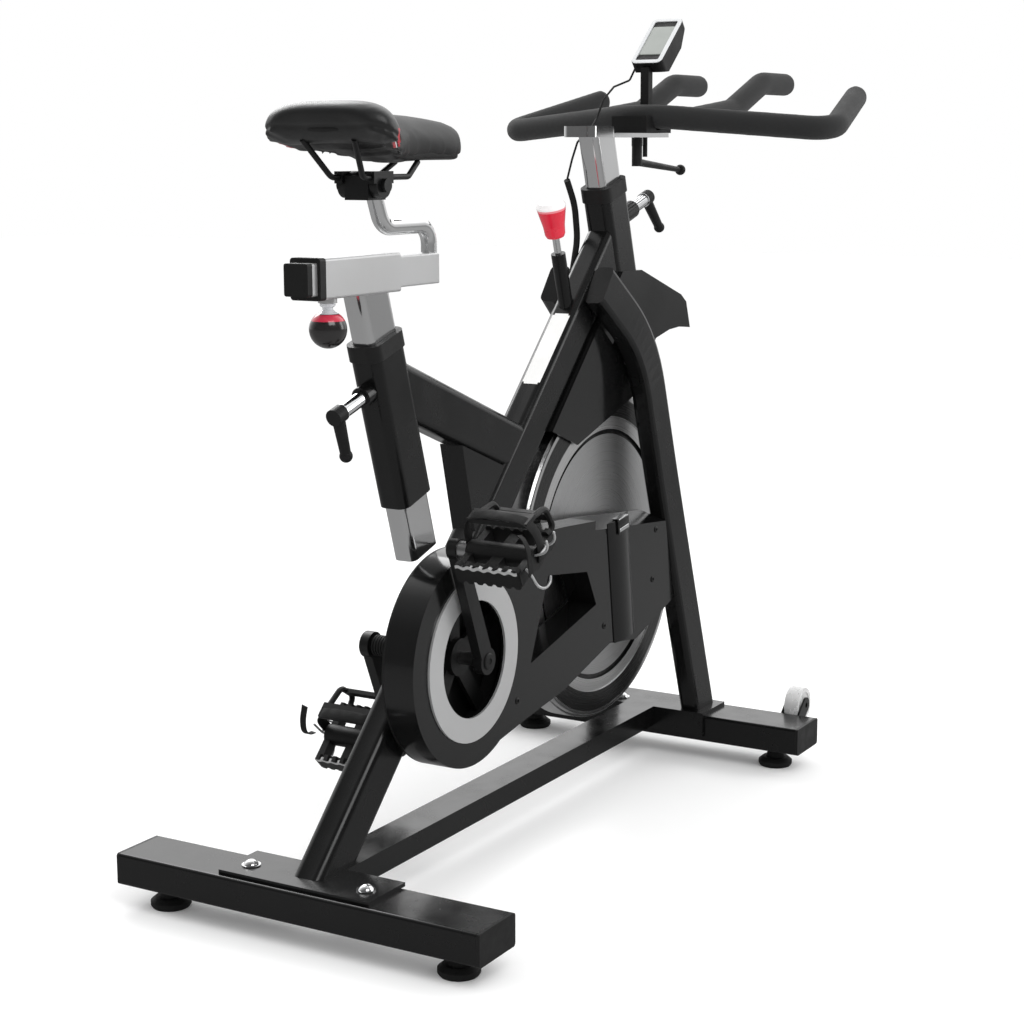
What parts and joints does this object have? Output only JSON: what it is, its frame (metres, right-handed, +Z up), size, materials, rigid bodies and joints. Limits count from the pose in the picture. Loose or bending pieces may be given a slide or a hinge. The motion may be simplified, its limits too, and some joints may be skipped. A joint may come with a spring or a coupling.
{
  "type": "exercise bike",
  "caption": "Indoor cycling bike with a weighted flywheel, belt drive, push brake, sliding saddle and a horned handlebar with a small console.",
  "frame": {"origin": "on the floor under the middle of the whole bike", "axes": "+X forward to the handlebar, +Y to the rider's left, +Z up"},
  "size_m": [1.25, 0.5558, 1.1043],
  "materials": {
    "frame_paint": "gloss",
    "black_paint_satin": "satin",
    "chrome": "polished",
    "steel": "satin",
    "flywheel_steel": "satin",
    "aluminium": "satin",
    "black_plastic": "matte",
    "gloss_black_plastic": "gloss",
    "silver_plastic": "satin",
    "red_plastic": "gloss",
    "clear_plastic": "gloss",
    "rubber": "matte",
    "foam": "matte",
    "saddle_cover": "matte"
  },
  "bodies": {
    "frame": {"rear_stabilizer": "frame_paint", "front_stabilizer": "frame_paint", "stabilizer_end_caps": "black_plastic", "base_beam": "frame_paint", "dome_bolts": "chrome", "main_tube": "frame_paint", "top_tube": "frame_paint", "post_sleeves": "frame_paint", "front_legs": "frame_paint", "lead_tube": "rubber", "sleeve_bushes": "black_plastic", "bearings": "steel", "axle_brackets": "frame_paint", "flywheel_axle": "chrome", "flywheel_hood": "gloss_black_plastic", "guard_cover": "gloss_black_plastic", "guard_back": "black_plastic", "guard_ring": "silver_plastic", "guard_band": "gloss_black_plastic", "drive_belt": "rubber", "brake_spring": "steel"},
    "flywheel_unit": {"flywheel": "flywheel_steel", "driven_pulley": "steel"},
    "crank_unit": {"crank_axles": "steel", "drive_pulley": "black_plastic", "crank_arms": "black_paint_satin"},
    "right_pedal": {"pedal_right": "black_plastic", "toe_cage_right": "black_plastic"},
    "left_pedal": {"pedal_left": "black_plastic", "toe_cage_left": "black_plastic"},
    "right_roller": {"transport_wheel_right": "clear_plastic"},
    "left_roller": {"transport_wheel_left": "clear_plastic"},
    "rear_right_foot": {"foot_rear_right": "rubber"},
    "rear_left_foot": {"foot_rear_left": "rubber"},
    "front_right_foot": {"foot_front_right": "rubber"},
    "front_left_foot": {"foot_front_left": "rubber"},
    "seat_height": {"seat_post": "chrome", "slide_housing": "aluminium", "slide_collar": "black_plastic"},
    "seat_slide": {"slide_bar": "aluminium", "slide_end_cap": "black_plastic", "seat_stem": "chrome", "saddle_clamp": "black_paint_satin"},
    "saddle": {"rail_jaws": "black_paint_satin", "saddle_rails": "black_paint_satin", "saddle_shell": "black_plastic", "saddle_cushion": "saddle_cover"},
    "seat_knob_body": {"seat_knob": "gloss_black_plastic"},
    "seat_lever_body": {"seat_lever": "black_plastic"},
    "head_lever_body": {"head_lever": "black_plastic"},
    "bar_lever_body": {"bar_lever": "black_plastic"},
    "bar_height": {"handlebar_post": "chrome"},
    "handlebar_unit": {"handlebar_clamp": "black_plastic", "handlebar": "steel", "handlebar_foam": "foam", "console_mast": "black_plastic", "console": "silver_plastic", "console_lead": "rubber"},
    "brake_push": {"brake_rod": "chrome"},
    "brake_knob_body": {"brake_knob": "red_plastic"}
  },
  "joints": [
    {"name": "flywheel_spin", "type": "hinge", "parent": "frame", "child": "flywheel_unit", "pos_m": [0.117, 0, 0.34], "axis": [0, 1, 0], "continuous": true},
    {"name": "crank_spin", "type": "hinge", "parent": "frame", "child": "crank_unit", "pos_m": [-0.333, 0, 0.292], "axis": [0, 1, 0], "continuous": true},
    {"name": "right_pedal_spin", "type": "hinge", "parent": "crank_unit", "child": "right_pedal", "pos_m": [-0.39614, -0.158, 0.44444], "axis": [0, 1, 0], "continuous": true},
    {"name": "left_pedal_spin", "type": "hinge", "parent": "crank_unit", "child": "left_pedal", "pos_m": [-0.26986, 0.147, 0.13956], "axis": [0, 1, 0], "continuous": true},
    {"name": "right_roller_spin", "type": "hinge", "parent": "frame", "child": "right_roller", "pos_m": [0.386, -0.215, 0.078], "axis": [0, 1, 0], "continuous": true},
    {"name": "left_roller_spin", "type": "hinge", "parent": "frame", "child": "left_roller", "pos_m": [0.386, 0.215, 0.078], "axis": [0, 1, 0], "continuous": true},
    {"name": "rear_right_foot_turn", "type": "hinge", "parent": "frame", "child": "rear_right_foot", "pos_m": [-0.586, -0.209, 0.015], "axis": [0, 0, 1], "continuous": true},
    {"name": "rear_left_foot_turn", "type": "hinge", "parent": "frame", "child": "rear_left_foot", "pos_m": [-0.586, 0.209, 0.015], "axis": [0, 0, 1], "continuous": true},
    {"name": "front_right_foot_turn", "type": "hinge", "parent": "frame", "child": "front_right_foot", "pos_m": [0.318, -0.209, 0.015], "axis": [0, 0, 1], "continuous": true},
    {"name": "front_left_foot_turn", "type": "hinge", "parent": "frame", "child": "front_left_foot", "pos_m": [0.318, 0.209, 0.015], "axis": [0, 0, 1], "continuous": true},
    {"name": "seat_post_slide", "type": "slide", "parent": "frame", "child": "seat_height", "axis": [-0.2957, 0, 0.9553], "range_m": [-0.04, 0.18]},
    {"name": "seat_fore_aft", "type": "slide", "parent": "seat_height", "child": "seat_slide", "axis": [1, 0, 0], "range_m": [-0.08, 0.06]},
    {"name": "saddle_tilt", "type": "hinge", "parent": "seat_slide", "child": "saddle", "pos_m": [-0.44645, 0, 0.87586], "axis": [0, 1, 0], "range_deg": [-8, 8]},
    {"name": "seat_knob_turn", "type": "hinge", "parent": "seat_height", "child": "seat_knob_body", "pos_m": [-0.52345, 0, 0.71336], "axis": [0, 0, 1], "range_deg": [-360, 360]},
    {"name": "seat_lever_turn", "type": "hinge", "parent": "frame", "child": "seat_lever_body", "pos_m": [-0.41303, 0, 0.64241], "axis": [-0.9553, 0, -0.2957], "range_deg": [-75, 75]},
    {"name": "head_lever_turn", "type": "hinge", "parent": "frame", "child": "head_lever_body", "pos_m": [0.16674, 0, 0.80768], "axis": [0.9553, 0, 0.2957], "range_deg": [-75, 75]},
    {"name": "bar_post_slide", "type": "slide", "parent": "frame", "child": "bar_height", "axis": [-0.2957, 0, 0.9553], "range_m": [0, 0.08]},
    {"name": "bar_fore_aft", "type": "slide", "parent": "bar_height", "child": "handlebar_unit", "axis": [1, 0, 0], "range_m": [-0.06, 0.018]},
    {"name": "bar_lever_turn", "type": "hinge", "parent": "handlebar_unit", "child": "bar_lever_body", "pos_m": [0.253, 0, 0.91187], "axis": [0, 0, 1], "range_deg": [-70, 70]},
    {"name": "brake_push_slide", "type": "slide", "parent": "frame", "child": "brake_push", "axis": [0.2957, 0, -0.9553], "range_m": [0, 0.01], "stiffness_N_per_m": 2500, "springref_m": -0.002, "deforming": ["brake_spring"]},
    {"name": "brake_knob_turn", "type": "hinge", "parent": "brake_push", "child": "brake_knob_body", "pos_m": [0.00387, 0, 0.81934], "axis": [-0.2957, 0, 0.9553], "range_deg": [-720, 720]}
  ],
  "couplings": [
    {"joint": "crank_spin", "follows": "flywheel_spin", "ratio": 0.38393}
  ]
}
